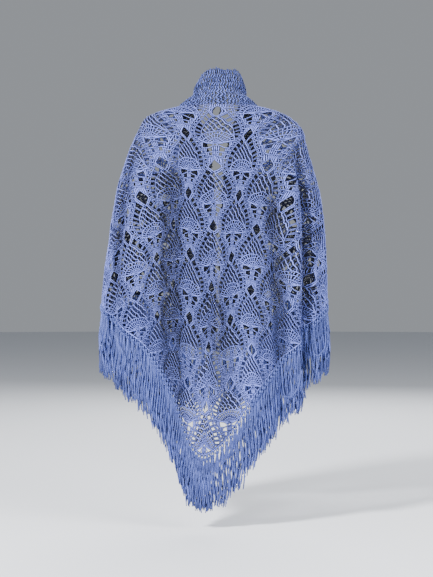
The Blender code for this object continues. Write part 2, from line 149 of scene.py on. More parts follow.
# Folds: turn at the top and at the bottom, half width in degrees, depth (minus stands out), and
# the heights where a fold starts and where it reaches its bottom turn.
FOLDS = table(
    "turn_top turn_bottom half_width depth start end",
    (25, 19, 9, 1.8, -12, -80),
    (47, 46, 11, -0.9, -14, -58),
    (66, 62, 8, 1.1, -5, -34),
    (2, -3, 8, 0.7, -40, -80),
    (-14, -13, 9, -0.6, -30, -78),
    (-27, -32, 7, 1.4, -18, -62),
    (-41, -42, 7, -1.0, -16, -60),
    (-57, -50, 7, 2.7, -9, -60),
    (-76, -74, 9, -0.6, -20, -50),
    (104, 106, 9, 2.2, -10, -50),
    (121, 124, 8, -1.4, -12, -50),
    (139, 142, 9, 2.2, -9, -52),
    (-104, -107, 9, 2.2, -10, -50),
    (-122, -125, 8, -1.4, -12, -50),
    (-140, -143, 9, 2.2, -9, -52),
)
FOLD_FADE = 10 * CM
TURN_COLUMNS = ("neck", "slope", "shoulder", "blades", "waist", "hem")
TURN_HEIGHTS = (NECK_HEIGHT, SLOPE_HEIGHT, SHOULDER_HEIGHT, BLADES_HEIGHT, WAIST_HEIGHT)
# The band's free edge, from the centre back round the neck and down the front.
FREE_EDGE = table(
    "along x y z",
    (0, 0.0, 6.2, 8.4),
    (3.5, 3.2, 5.4, 8.1),
    (6.5, 4.9, 3.2, 7.2),
    (10, 5.4, -0.4, 5.2),
    (14, 5.2, -4.8, 1.6),
    (19, 3.9, -9.0, -4.0),
    (26, 2.0, -12.6, -11.5),
    (40, 0.9, -14.4, -25.5),
    (60, 0.6, -14.5, -45.5),
    (77, 0.6, -14.5, -62.5),
)

# The chart of one pineapple in centimetres, across and down from the middle of its diamond.
# Half widths of its net, and the middle of the band of shells on its right.
NET_HALF = table(
    "down half",
    (1.6, 0.2),
    (2.2, 0.7),
    (3.05, 1.3),
    (3.85, 1.85),
    (4.8, 2.25),
    (5.95, 2.6),
    (6.8, 2.75),
    (7.8, 2.75),
    (8.6, 2.7),
)
SHELLS_MIDDLE = table(
    "down across",
    (1.95, 2.45),
    (3.0, 3.05),
    (4.0, 3.6),
    (5.0, 4.0),
    (6.0, 4.24),
    (6.8, 4.3),
    (7.6, 4.2),
    (8.5, 3.86),
    (9.5, 3.3),
)
SHELL_ROWS = 8
SHELL_TOP = 1.95
SHELL_ROW = ROW_HEIGHT / CM / SHELL_ROWS
SHELL_FEET = (-0.44, -0.07, 0.07, 0.44)
SHELL_HEADS = (-0.48, -0.3, 0.3, 0.48)
SHELL_HALF = 0.58
SHELL_THIN = 0.62
SHELL_ARCH = 0.08
NET_TOP = 1.75
NET_END = 8.3
NET_ROW = 0.75
NET_PITCH = 1.0
NET_SWAY = 0.06
NET_POINTS = 12
NET_LEAST = 4
NET_STRANDS = 10
NET_EDGE_STEP = 0.4
NET_EDGE_PAST = 0.3
FAN_MIDDLE = 9.3
FAN_RADII = (0.3, 1.3, 2.33, 3.15)
FAN_POSTS = (8, 12, 15)
FAN_SPREAD = math.radians(80)
FAN_ARC_POINTS = 12
SLOT_RISE = (1.0, 0.1)
SLOT_LEVEL = 0.78
SLOT_BAR = 0.22
SLOT_OVERLAP = 0.1
# The other strands of the right half: posts are short and stout, ridges run across them.
POSTS = (
    ((0.65, -1.05), (1.0, -1.2)),
    ((0.12, 9.35), (0.12, 9.12)),
    ((0.42, 9.1), (0.42, 9.5)),
    ((2.55, 8.85), (2.55, 9.5), (2.4, 10.2)),
    ((2.85, 8.7), (2.8, 9.3)),
    ((0.13, 10.1), (0.13, 11.45)),
    ((0.42, 10.05), (0.38, 11.45)),
    ((1.62, 10.5), (1.48, 11.5)),
    ((1.92, 10.6), (1.75, 11.3)),
    ((0.13, 11.5), (0.13, 12.5)),
    ((0.4, 11.5), (0.36, 12.5)),
    ((1.14, 11.5), (1.05, 12.5)),
    ((1.42, 11.55), (1.3, 12.3)),
    ((0.12, 12.5), (0.1, 13.5)),
    ((0.38, 12.55), (0.33, 13.95)),
    ((0.68, 12.5), (0.6, 14.3)),
    ((0.97, 12.5), (0.88, 14.5)),
)
RIDGES = (
    ((0.0, -1.75), (0.58, -0.9), (1.05, -0.05), (0.62, 0.9), (0.0, 1.85)),
    ((1.25, 0.3), (0.88, 1.05), (0.25, 2.05)),
    ((0.0, 9.08), (1.0, 9.04), (2.0, 8.9), (3.1, 8.6)),
    ((0.0, 9.38), (0.32, 9.52), (0.36, 9.8), (0.0, 10.1)),
    ((0.36, 9.56), (1.1, 9.24), (2.25, 8.98)),
    ((0.36, 9.86), (1.0, 10.25), (1.6, 10.48), (2.2, 10.62)),
    ((2.26, 8.96), (2.32, 9.8), (2.2, 10.62)),
    ((0.0, 11.5), (0.6, 11.48), (1.1, 11.5), (1.65, 11.5)),
    ((0.0, 12.5), (0.5, 12.5), (1.2, 12.46)),
)
# How high a motif stands above the middle of its diamond, and where the lace begins.
MOTIF_RISE = 1.5
LACE_TOP = 0.1

# Yarn, in centimetres: half widths and half depths, the lengths of a tube's steps, its sides.
YARN_HALF = 0.155
YARN_DEPTH = 0.11
THIN = 0.85
STEP = 0.42
NET_STEP = 0.27
SIDES = 4
CODE_RADIUS = 0.25
END_SHRINK = 0.7
LOW = -0.08
HIGH = 0.08
BULGE = 0.08
# The net's two ways: which way they lean, their lift, and how stout their yarn is.
NET_WAYS = ((-1, HIGH, 1.0), (1, LOW, 1.2))
# How stout the yarn is in the fronts, in the top rows of the back and from a low row on.
FRONT_STOUTNESS = 1.4
TOP_STOUTNESS = 1.15
TOP_ROWS = 2
DENSE_STOUTNESS = 1.6
DENSE_ROW = 8
# The posts that narrow the hole at the nape, and the cord along the hem.
NECK_POST = np.array([(0.4, -1.0), (0.72, -0.05), (0.45, 0.95)])
CORD_HALF = 0.24
CORD_DEPTH = YARN_DEPTH * 1.4
CORD_STEP = 0.8
HEM_INSET = 0.3
HEM_END = HEM_INSET * 1.5
HEM_STEP = 0.5
HEM_LEAST = 0.1
# Waves of the chart: size, across and down; how they run down and out; and where they fade.
WOBBLE = ((0.11, 0.9, 0.35), (0.07, 2.1, -1.4), (0.05, -3.3, 2.7))
WOBBLE_DOWN = (1.13, 2)
WOBBLE_OUT = (0.83, 4)
WOBBLE_OUT_SHARE = 0.5
WOBBLE_FADE = 1.5
HEM_FADE = 2.0

# The band in centimetres: rows of close stitches, ridges between them, and a scalloped edge.
BAND_ROWS = 12
BAND_WOBBLE = 1.2
BAND_SEED = 11
STITCH = 0.55
STITCH_STEP = 0.4
STITCH_LEAN = 0.18
STITCH_OVERLAP = 0.06
STITCH_HALF = 0.272
STITCH_DEPTH = 0.06
STITCH_DRIFT = 0.09
RIDGE_HALF = 0.065
RIDGE_DROP = 0.08
RIDGE_LIFT = HIGH * 0.5
RIDGE_WAVE = 0.08
RIDGE_WAVES = (0.35, 0.5)
RIDGE_PAST = 0.01
EDGE_PITCH = 0.8
EDGE_RISE = 0.3
EDGE_VARIES = 0.3
EDGE_FOOT = 0.05
EDGE_HALF = RIDGE_HALF * 1.3

# A tassel: how its strands spread, hang and wave, and its knot. ROOT_CELLS are cells of the hem.
TASSEL_STRANDS = 9
TASSEL_SPREAD = 0.0085
TASSEL_DEPTH = 0.0045
TASSEL_CLOSED = 0.25
TASSEL_OPEN_AT = 0.45
TASSEL_TURN = 2.4
STRAND_TURN = 2.0
STRAND_STEPS = 12
STRAND_CROWDING = 1.1
STRAND_HALF = 0.0016
STRAND_SHORTER = 0.09
SHORTER_TURNS = 3.7
DEPTH_TURNS = 1.9
STRAND_WAVE = 0.0034
WAVES_ASIDE = 45
WAVES_AHEAD = 40
WAVES_VARY = 15
ROOT_CELLS = 0.2
KNOT_DROP = 0.010
KNOT_RADIUS = 0.0042
KNOT_FLATNESS = 0.8
KNOT_HALF = 0.0018
KNOT_STEPS = 10
KNOT_LEVELS = (0.0, 0.0032)
KNOT_SLANT = 0.0012
# Half of the loop through the hem that holds a knot: aside, ahead and up from the tassel's root.
KNOT_LOOP = (
    (0.002, 0.0025, -KNOT_DROP),
    (0.003, 0.0042, -0.003),
    (0.0028, 0.002, 0.0035),
    (0.002, -0.0035, -0.003),
)
KNOT_LOOP_STEP = 0.003
# Uncut strands on the right: the hem's cells where they begin and end, and how far they hang.
LOOSE_LOOPS = ((11.3, 13.4, 0.092), (16.0, 18.0, 0.078))
LOOP_STEPS = 24
LOOP_AHEAD = 0.013
LOOP_NARROWNESS = 0.25

# Yarn: its colours; then its painted light: the place up its side where its painted shade begins
# to grow into a painted highlight, its painted shade on the side, its highlight on the crown and
# the painted light on the back that faces the wearer, so small in the fronts and the band that
# their backs stay in painted shade; and the painted shade of sunk strands and of folds.
LACE_BLUE = (0.095, 0.12, 0.385)
BAND_BLUE = (0.064, 0.088, 0.3)
FRINGE_BLUE = (0.125, 0.17, 0.54)
LACE_PAINTED_LIGHT = (0.47, 0.02, 2.6, 1.2)
FRONT_PAINTED_LIGHT = (0.3, 0.03, 2.4, 0.08)
COLLAR_PAINTED_LIGHT = (0.45, 0.03, 2.25, 1.3)
BAND_PAINTED_LIGHT = (0.3, 0.04, 2.4, 0.08)
FRINGE_PAINTED_LIGHT = (0.3, 0.32, 2.2, 0.7)
BACK_REACH = (-0.2, -1.0)
SUNK_SHADE = 0.34
FOLD_SHADE = 18.0
FOLD_SHADE_LIMITS = (-0.08, 0.2)
# Its surface: the twist of its ply, with painted shade in the crevices between the plies, its
# fuzz and blotches, which vary its tone at random, and the shades that they give.
PLY_PITCH = 0.0042
PLY_SHIFT = 0.37
TWIST_PAINTED_SHADE = ((-1.0, 0.6), (0.72, 1.06))
FUZZ_SCALE = 900.0
FUZZ_HEIGHT = 0.8
FUZZ_SHADES = ((0.2, 0.8), (0.85, 1.12))
BLOTCH_SCALE = 14.0
BLOTCH_SHADES = ((0.3, 0.7), (0.9, 1.1))
NOISE_DETAIL = 2.0
BUMP = {"Strength": 0.7, "Distance": 0.0004}
YARN_SURFACE = {
    "Roughness": 0.8,
    "Specular IOR Level": 0.25,
    "Sheen Weight": 0.06,
    "Sheen Roughness": 0.45,
    "Sheen Tint": (0.75, 0.8, 1.0, 1.0),
}

# The studio: camera, floor, sky, and lamps with their places, sizes and powers.
CAMERA_AT = (0.00375, 3.2, -0.45375)
CAMERA_TURN = (math.radians(90), 0, math.radians(180))
CAMERA_LENS = 79.86
SENSOR_WIDTH = 36.0
FLOOR_HEIGHT = -1.03
FLOOR_RADIUS = 14
FLOOR_SIDES = 64
FLOOR_SURFACE = {"Base Color": (0.66, 0.68, 0.72, 1.0), "Roughness": 0.9}
SKY = {"Color": (0.88, 0.93, 1.0, 1.0), "Strength": 0.34}
LIT_POINT = (0, 0, -0.45)
LAMPS = (
    ("key", (2.1, 2.4, 1.8), 0.6, 440),
    ("fill", (-2.6, 1.8, 0.6), 2.0, 190),
    ("front", (-0.6, -3.0, 1.4), 2.0, 130),
)
# The lace's pieces: where they begin and end across the cut, their node, and their fringe.
LACE_PIECES = (
    ("lace_back_middle", -MIDDLE_EDGE, MIDDLE_EDGE, "lace_back", None),
    ("lace_back_left", MIDDLE_EDGE, FRONT_EDGE, "lace_back", "fringe_back_left"),
    ("lace_back_right", -FRONT_EDGE, -MIDDLE_EDGE, "lace_back", "fringe_back_right"),
    ("lace_front_left", FRONT_EDGE, HALF_WIDTH, "lace_front_left", "fringe_front_left"),
    ("lace_front_right", -HALF_WIDTH, -FRONT_EDGE, "lace_front_right", "fringe_front_right"),
)


def smooth(knots, values, at):
    """A cubic curve through the values that never overshoots them."""
    order = np.argsort(knots)
    x = np.asarray(knots, float)[order]
    y = np.asarray(values, float)[order]
    step = np.diff(x)
    rise = np.diff(y) / step
    slope = np.zeros_like(y)
    slope[0] = rise[0]
    slope[-1] = rise[-1]
    before = 2 * step[1:] + step[:-1]
    after = step[1:] + 2 * step[:-1]
    same_way = rise[:-1] * rise[1:] > 0
    safe = np.where(rise == 0, 1.0, rise)
    mean = (before + after) / (before / safe[:-1] + after / safe[1:])
    slope[1:-1] = np.where(same_way, mean, 0.0)
    at = np.clip(at, x[0], x[-1])
    k = np.clip(np.searchsorted(x, at) - 1, 0, len(x) - 2)
    t = (at - x[k]) / step[k]
    start = (1 + 2 * t) * (1 - t) ** 2 * y[k] + t * (1 - t) ** 2 * step[k] * slope[k]
    end = t * t * (3 - 2 * t) * y[k + 1] + t * t * (t - 1) * step[k] * slope[k + 1]
    return start + end


def ease(t):
    """A smooth step from 0 to 1."""
    t = np.clip(t, 0.0, 1.0)
    return t * t * (3 - 2 * t)


def fold_depth(turn, height):
    """How far the cloth stands inside its outline, at a turn in degrees and a height."""
    depth = np.zeros_like(height)
    for k in range(len(FOLDS["depth"])):
        start = FOLDS["start"][k] * CM
        end = FOLDS["end"][k] * CM
        share = np.clip((height - start) / (end - start), 0.0, 1.0)
        centre = FOLDS["turn_top"][k] + (FOLDS["turn_bottom"][k] - FOLDS["turn_top"][k]) * share
        away = np.clip(np.abs(turn - centre) / FOLDS["half_width"][k], 0.0, 1.0)
        bell = np.cos(away * math.pi / 2) ** 2
        depth += FOLDS["depth"][k] * CM * bell * ease((start - height) / FOLD_FADE)
    return depth


def outline_point(turn, height, folded=True):
    """The worn cloth's place at a turn about the body, in degrees, and a height."""
    angle = np.radians(turn)
    sine = np.sin(angle)
    cosine = np.cos(angle)
    rings = {name: smooth(RINGS["height"] * CM, RINGS[name] * CM, height) for name in RINGS}
    half_width = np.where(sine > 0, rings["left"], rings["right"])
    depth = np.where(cosine > 0, rings["back"], rings["front"])
    across = np.sign(sine) * np.abs(sine) ** (2 / SQUARENESS)
    along = np.sign(cosine) * np.abs(cosine) ** (2 / SQUARENESS)
    normal_x = np.sign(across) * np.abs(across) ** (SQUARENESS - 1) / half_width
    normal_y = np.sign(along) * np.abs(along) ** (SQUARENESS - 1) / depth
    inward = fold_depth(turn, height) * folded / np.hypot(normal_x, normal_y)
    x = half_width * across - normal_x * inward
    y = depth * along - normal_y * inward
    return np.stack([x, y, height], axis=-1)


def unit(vectors):
    """The vectors, each made one unit long."""
    return vectors / np.linalg.norm(vectors, axis=-1, keepdims=True)


def blur(count, width):
    """A matrix that averages each of a row of values with its neighbours."""
    steps = np.arange(count)
    weights = np.exp(-(((steps[:, None] - steps) / width) ** 2) / 2)
    return weights / weights.sum(axis=1, keepdims=True)


def even_out(turns, heights):
    """Slows the turn about the body in folds, so that their cloth isn't stretched."""
    with_folds = outline_point(turns, heights)[..., :2]
    without = outline_point(turns, heights, folded=False)[..., :2]
    real = np.linalg.norm(np.diff(with_folds, axis=0), axis=2) + TINY
    plain = np.linalg.norm(np.diff(without, axis=0), axis=2) + TINY
    extra = real / plain
    spread = blur(len(extra), STRETCH_ACROSS) @ extra / extra
    middle = FALL_STEPS // 2
    evened = turns.copy()
    for half in (slice(0, middle), slice(middle, FALL_STEPS - 1)):
        step = np.diff(turns, axis=0)[half] * spread[half]
        step *= (turns[half.stop] - turns[half.start]) / step.sum(axis=0)
        evened[half.start + 1 : half.stop + 1] = turns[half.start] + np.cumsum(step, axis=0)
    return evened


def draped_falls():
    """Points down every fall, evenly spaced along it, and the outward normals there."""
    places = np.linspace(-LAST_PLACE, LAST_PLACE, FALL_STEPS)
    drops = np.linspace(0, 1, DROP_STEPS)
    falls = {name: smooth(FALLS["place"], FALLS[name], places) for name in FALLS}
    turns = np.empty((FALL_STEPS, DROP_STEPS))
    heights = np.empty((FALL_STEPS, DROP_STEPS))
    for i in range(FALL_STEPS):
        hem = falls["height"][i] * CM
        height = NECK_HEIGHT + (hem - NECK_HEIGHT) * drops**NECK_CROWDING
        knots = (*TURN_HEIGHTS, hem)
        at_knots = [falls[name][i] for name in TURN_COLUMNS]
        turn = smooth(knots, at_knots, height)
        path = outline_point(turn, height)
        run = np.concatenate([[0], np.cumsum(np.linalg.norm(np.diff(path, axis=0), axis=1))])
        turns[i] = np.interp(drops * run[-1], run, turn)
        heights[i] = np.interp(drops * run[-1], run, height)
    points = outline_point(even_out(turns, heights), heights)
    along = np.gradient(points, axis=0)
    down = np.gradient(points, axis=1)
    normals = np.cross(along, down)
    normals[:, 0] = normals[:, 2]
    normals[:, 1] = normals[:, 2]
    normals = unit(normals)
    for axis in range(3):
        across = blur(FALL_STEPS, NORMAL_BLUR) @ normals[..., axis]
        normals[..., axis] = across @ blur(DROP_STEPS, NORMAL_BLUR).T
    return points, normals


POINTS, NORMALS = draped_falls()


def on_falls(u, v):
    """Which fall a point of the flat cut lies on, and how far down it, as a share."""
    across = np.abs(u)
    side = NECK_SIDE * (1 + v / HUB_RISE)
    back_place = np.minimum(across / side, 1.0)
    back_hem = (HALF_WIDTH - NECK_SIDE * back_place) / (
        NECK_SIDE * back_place / HUB_RISE + HALF_WIDTH / DEPTH
    )
    first = math.atan(NECK_SIDE / HUB_RISE)
    angle = np.arctan2(across - NECK_SIDE, np.maximum(v, TINY))
    front_place = 1 + (angle - first) / (math.pi / 2 - first)
    front_hem = (HALF_WIDTH - NECK_SIDE) / (np.sin(angle) + np.cos(angle) * HALF_WIDTH / DEPTH)
    front_drop = np.hypot(across - NECK_SIDE, v) / front_hem
    at_back = across <= side
    place = np.where(at_back, back_place, front_place) * np.sign(u)
    return place, np.where(at_back, v / back_hem, front_drop)


def blend_cells(grid, row, column):
    """Reads a grid of points between its rows and columns."""
    row = np.clip(row, 0, grid.shape[0] - 1 - TINY)
    column = np.clip(column, 0, grid.shape[1] - 1 - TINY)
    i = row.astype(int)
    j = column.astype(int)
    a = (row - i)[:, None]
    b = (column - j)[:, None]
    upper = grid[i, j] * (1 - b) + grid[i, j + 1] * b
    lower = grid[i + 1, j] * (1 - b) + grid[i + 1, j + 1] * b
    return upper * (1 - a) + lower * a


def lace_place(u, v, out=0.0):
    """The worn place of points on the flat lace, and their normals."""
    place, drop = on_falls(u, v)
    row = (place + LAST_PLACE) / (2 * LAST_PLACE) * (FALL_STEPS - 1)
    column = drop * (DROP_STEPS - 1)
    normal = unit(blend_cells(NORMALS, row, column))
    return blend_cells(POINTS, row, column) + normal * np.reshape(out, (-1, 1)), normal


def band_points(u, share):
    """The worn place of points on the band: share is 0 at the lace and 1 at the free edge."""
    on_lace = np.clip(u, -HALF_WIDTH, HALF_WIDTH)
    seam, _ = lace_place(on_lace, np.zeros_like(u))
    inward = on_lace * (1 - TANGENT_REACH / HALF_WIDTH)
    inside, _ = lace_place(inward, np.full_like(u, TANGENT_REACH))
    leaving = unit(seam - inside)
    along = np.abs(u)
    edge = np.stack(
        [smooth(FREE_EDGE["along"] * CM, FREE_EDGE[name] * CM, along) for name in "xyz"], axis=-1
    )
    edge[:, 0] *= np.sign(u)
    round_neck = 1 - ease((along - COLLAR_FADES_AT) / COLLAR_FADE)
    edge[:, 0] += COLLAR_SHIFT * round_neck
    roll = ROLL_OUT * np.sin(math.pi * np.clip(share / ROLL_TOP, 0, 1)) ** 2
    from_crease = np.clip(np.abs(share - CREASE_SHARE) / CREASE_SPREAD, 0, 1)
    crease = CREASE_IN * np.cos(math.pi / 2 * from_crease) ** 2
    outward = unit(edge * (1, 1, 0))
    bulge = ((roll - crease) * round_neck)[:, None]
    share = share[:, None]
    knee = seam + leaving * BAND_KNEE
    curve = seam * (1 - share) ** 2 + knee * 2 * share * (1 - share) + edge * share**2
    return curve + outward * bulge


def band_place(u, share, out=0.0):
    """The worn place of points on the band, moved out along its normals, and the normals."""
    along = band_points(u + NORMAL_REACH, share) - band_points(u - NORMAL_REACH, share)
    step = NORMAL_REACH / BAND_WIDTH
    up = band_points(u, share + step) - band_points(u, share - step)
    normal = unit(np.cross(up, along))
    return band_points(u, share) + normal * np.reshape(out, (-1, 1)), normal


def hem_place(side, cell):
    """Places on the hem, counted in cells from the back tip and on along the band's end."""
    on_lace = np.minimum(cell, HEM_CELLS)
    points, normals = lace_place(side * on_lace * CELL_U, (HEM_CELLS - on_lace) * CELL_V)
    share = np.clip((cell - HEM_CELLS) / END_CELLS, 0, 1)
    slant = 1 + share * BAND_WIDTH / DEPTH
    end_points, end_normals = band_place(side * HALF_WIDTH * slant, share)
    past = (cell > HEM_CELLS)[:, None]
    return np.where(past, end_points, points), np.where(past, end_normals, normals)


def spaced(points, step):
    """A smooth line through a strand's points, cut into equal steps."""
    points = np.asarray(points, float)
    runs = np.linalg.norm(np.diff(points, axis=0), axis=1)
    along = np.concatenate([[0], np.cumsum(runs)])
    count = max(2, round(along[-1] / step) + 1)
    at = np.linspace(0, along[-1], count)
    return np.stack([smooth(along, column, at) for column in points.T], axis=-1)


def strand(points, step=STEP, lift=0.0, bulge=0.0, half=YARN_HALF, depth=YARN_DEPTH):
    """One strand of yarn: its line on the flat chart, raised by lift and by bulge in its middle."""
    line = spaced(points, step)
    share = np.linspace(0, 1, len(line))
    out = lift + bulge * np.sin(math.pi * share)
    return np.column_stack([line, out]), half, depth


def mirrored(strands):
    """The strands with their mirror images across the motif's middle."""
    flip = np.array([-1, 1, 1])
    return strands + [(line * flip, half, depth) for line, half, depth in strands]


def shells_middle(down):
    """The middle of the shells right of a motif; above its own they are its neighbour's."""
    own = smooth(SHELLS_MIDDLE["down"], SHELLS_MIDDLE["across"], down)
    above = smooth(SHELLS_MIDDLE["down"], SHELLS_MIDDLE["across"], down + ROW_HEIGHT / CM)
    return np.where(down < SHELL_TOP, MOTIF_WIDTH / CM / 2 - above, own)


def shell_strands():
    """The band of shells on the right of a motif: four posts a row under a short ridge."""
    strands = []
    downs = SHELL_TOP + SHELL_ROW * np.arange(SHELL_ROWS + 1)
    acrosses = smooth(SHELLS_MIDDLE["down"], SHELLS_MIDDLE["across"], downs)
    middles = np.stack([acrosses, downs], axis=-1)
    for head, foot in zip(middles[:-1], middles[1:], strict=True):
        along = (foot - head) / np.linalg.norm(foot - head)
        across = np.array([along[1], -along[0]])
        for far, near in zip(SHELL_HEADS, SHELL_FEET, strict=True):
            ends = (head + across * far, foot + across * near)
            strands.append(strand(ends, bulge=BULGE, half=YARN_HALF * SHELL_THIN))
        top = head - along * SHELL_ARCH
        arc = (head - across * SHELL_HALF, top, head + across * SHELL_HALF)
        strands.append(strand(arc, lift=HIGH, half=YARN_HALF * THIN))
    return strands


def net_strands():
    """The net: long raised strands one way, and sunk ones behind them the other way."""
    strands = []
    lean = NET_PITCH / 2 / NET_ROW
    down = np.arange(NET_TOP, NET_END, NET_ROW / NET_POINTS)
    half = smooth(NET_HALF["down"], NET_HALF["half"], down)
    for way, lift, width in NET_WAYS:
        for count in range(-NET_STRANDS, NET_STRANDS + 1):
            sway = NET_SWAY * np.sin(2 * math.pi * (down - NET_TOP) / NET_ROW)
            across = count * NET_PITCH + way * (lean * (down - NET_TOP) + sway)
            clear = np.hypot(across, down - FAN_MIDDLE) > FAN_RADII[-1]
            kept = (np.abs(across) < half) & clear
            if kept.sum() < NET_LEAST:
                continue
            line = np.column_stack([across[kept], down[kept]])
            strands.append(strand(line, NET_STEP, lift, 0.0, YARN_HALF * width))
    return strands


def side_strands():
    """The net's right edge, and the bars of the slots between it and the shells."""
    down = np.arange(NET_TOP, NET_END + NET_EDGE_PAST, NET_EDGE_STEP)
    edge = np.column_stack([smooth(NET_HALF["down"], NET_HALF["half"], down), down])
    strands = [strand(edge, half=YARN_HALF * THIN)]
    for row in range(-1, SHELL_ROWS - 1):
        low = SHELL_TOP + SHELL_ROW * (row + SLOT_LEVEL)
        share = (row + 1) / (SHELL_ROWS - 1)
        high = low - SLOT_RISE[0] * (1 - share) - SLOT_RISE[1] * share
        near = smooth(NET_HALF["down"], NET_HALF["half"], low)
        far = shells_middle(high) - SHELL_HALF
        for above in (0, SLOT_BAR):
            ends = ((near, low - above), (far + SLOT_OVERLAP, high - above))
            strands.append(strand(ends, half=YARN_HALF * THIN))
    return strands


def fan_strands():
    """The dense fan at the motif's foot: rings of posts under ridges."""
    strands = []
    for ring, posts in enumerate(FAN_POSTS):
        near = FAN_RADII[ring]
        far = FAN_RADII[ring + 1]
        for angle in np.linspace(-FAN_SPREAD, FAN_SPREAD, posts):
            way = np.array([math.sin(angle), -math.cos(angle)])
            ends = ((0, FAN_MIDDLE) + way * near, (0, FAN_MIDDLE) + way * far)
            strands.append(strand(ends, bulge=BULGE))
        angles = np.linspace(-FAN_SPREAD, FAN_SPREAD, FAN_ARC_POINTS)
        arc = np.column_stack([far * np.sin(angles), FAN_MIDDLE - far * np.cos(angles)])
        strands.append(strand(arc, lift=HIGH, half=YARN_HALF * THIN))
    return strands


def motif_strands():
    """Every strand of one pineapple with the shells beside it and the bow below it."""
    right = shell_strands() + side_strands()
    right += [strand(points, bulge=BULGE) for points in POSTS]
    right += [strand(points, lift=HIGH, half=YARN_HALF * THIN) for points in RIDGES]
    return mirrored(right) + net_strands() + fan_strands()


def spread_tubes(bm, rings, count):
    """Straight tubes side by side: strand number along X, ring number up Z."""
    made = bmesh.ops.create_cone(
        bm, cap_ends=True, segments=SIDES, radius1=CODE_RADIUS, radius2=CODE_RADIUS, depth=1
    )
    bmesh.ops.translate(bm, vec=(0, 0, 0.5), verts=made["verts"])
    faces = list({face for vert in made["verts"] for face in vert.link_faces})
    top = max(faces, key=lambda face: face.calc_center_median().z)
    for _ in range(rings - 2):
        grown = bmesh.ops.extrude_discrete_faces(bm, faces=[top])
        faces.remove(top)
        top = grown["faces"][0]
        bmesh.ops.translate(bm, vec=(0, 0, 1), verts=top.verts[:])
        faces += [top, *{face for edge in top.edges for face in edge.link_faces if face != top}]
    tubes = [faces]
    while len(tubes) < count:
        source = [face for tube in tubes[: count - len(tubes)] for face in tube]
        copy = bmesh.ops.duplicate(bm, geom=source)
        new_faces = [item for item in copy["geom"] if isinstance(item, bmesh.types.BMFace)]
        new_verts = [item for item in copy["geom"] if isinstance(item, bmesh.types.BMVert)]
        bmesh.ops.translate(bm, vec=(len(tubes), 0, 0), verts=new_verts)
        order = {}
        for face in new_faces:
            order.setdefault(round(face.calc_center_median().x), []).append(face)
        tubes += [order[number] for number in sorted(order)]


def tube_group(chosen):
    """A mesh of closed tubes for strands with the same number of rings."""
    rings = len(chosen[0][0])
    lines = np.array([line for line, _, _ in chosen])
    sizes = np.array([(half, depth) for _, half, depth in chosen])
    bm = new_piece_mesh()
    ply = bm.verts.layers.float_vector["ply"]
    spread_tubes(bm, rings, len(chosen))
    coded = np.array([vert.co[:] for vert in bm.verts])
    number = np.rint(coded[:, 0]).astype(int)
    ring = np.rint(coded[:, 2]).astype(int)
    cosine = (coded[:, 0] - number) / CODE_RADIUS
    sine = coded[:, 1] / CODE_RADIUS
    forward = np.gradient(lines, axis=1)
    forward /= np.linalg.norm(forward, axis=2, keepdims=True) + TINY
    aside = np.stack([-forward[..., 1], forward[..., 0], 0 * forward[..., 0]], axis=-1)
    aside /= np.linalg.norm(aside, axis=2, keepdims=True) + TINY
    up = np.cross(forward, aside)
    at_end = (ring == 0) | (ring == rings - 1)
    size = sizes[number] * np.where(at_end, END_SHRINK, 1.0)[:, None]
    places = lines[number, ring]
    places = places + aside[number, ring] * (cosine * size[:, 0])[:, None]
    places = places + up[number, ring] * (sine * size[:, 1])[:, None]
    steps = np.linalg.norm(np.diff(lines, axis=1), axis=2)
    along = np.concatenate([np.zeros((len(lines), 1)), np.cumsum(steps, axis=1)], axis=1)
    run = along[number, ring] + PLY_SHIFT * number
    # Painted shade: the lower a strand lies under the others, the darker its yarn, through the ply
    # attribute.
    sunk = np.clip((HIGH - lines[number, ring, 2]) / (HIGH - LOW), 0, 1)
    sine = sine - SUNK_SHADE * sunk
    for vert, place, a, b, c in zip(bm.verts, places, cosine, sine, run, strict=True):
        vert.co = place
        vert[ply] = (a, b, c)
    return made_mesh(bm, "tubes")


def add_tubes(bm, strands):
    """A closed tube of yarn for each strand, with its place round and along the yarn kept, and the
    painted shade of sunk strands.
    """
    for rings in sorted({len(line) for line, _, _ in strands}):
        mesh = tube_group([item for item in strands if len(item[0]) == rings])
        bm.from_mesh(mesh)
        bpy.data.meshes.remove(mesh)


def made_mesh(bm, name):
    """Turns bm into a mesh and lets it go."""
    mesh = bpy.data.meshes.new(name)
    bm.to_mesh(mesh)
    bm.free()
    return mesh


def add_object(name, data):
    """Puts a mesh, a lamp or a camera in the scene, at the origin."""
    made = bpy.data.objects.new(name, data)
    bpy.context.scene.collection.objects.link(made)
    return made


def new_piece_mesh():
    """An empty mesh that keeps each point's place round and along its yarn, and its painted shade.
    """
    bm = bmesh.new()
    bm.verts.layers.float_vector.new("ply")
    return bm


def cut_off(bm, point, normal):
    """Drops what lies beyond a line of the flat chart."""
    geometry = bm.verts[:] + bm.edges[:] + bm.faces[:]
    bmesh.ops.bisect_plane(
        bm, geom=geometry, dist=TINY, plane_co=point, plane_no=normal, clear_outer=True
    )


def close_ends(bm):
    """Closes the ends of cut strands."""
    open_edges = [edge for edge in bm.edges if edge.is_boundary]
    if open_edges:
        bmesh.ops.edgeloop_fill(bm, edges=open_edges)


def wobble(flat):
    """Hand-made unevenness: the chart's points drift a little, smoothly."""
    moved = flat.copy()
    for size, across, down in WOBBLE:
        wave = flat[:, 0] * across + flat[:, 1] * down
        moved[:, 0] += size * np.sin(wave)
        moved[:, 1] += size * np.sin(wave * WOBBLE_DOWN[0] + WOBBLE_DOWN[1])
        moved[:, 2] += size * WOBBLE_OUT_SHARE * np.sin(wave * WOBBLE_OUT[0] + WOBBLE_OUT[1])
    return moved


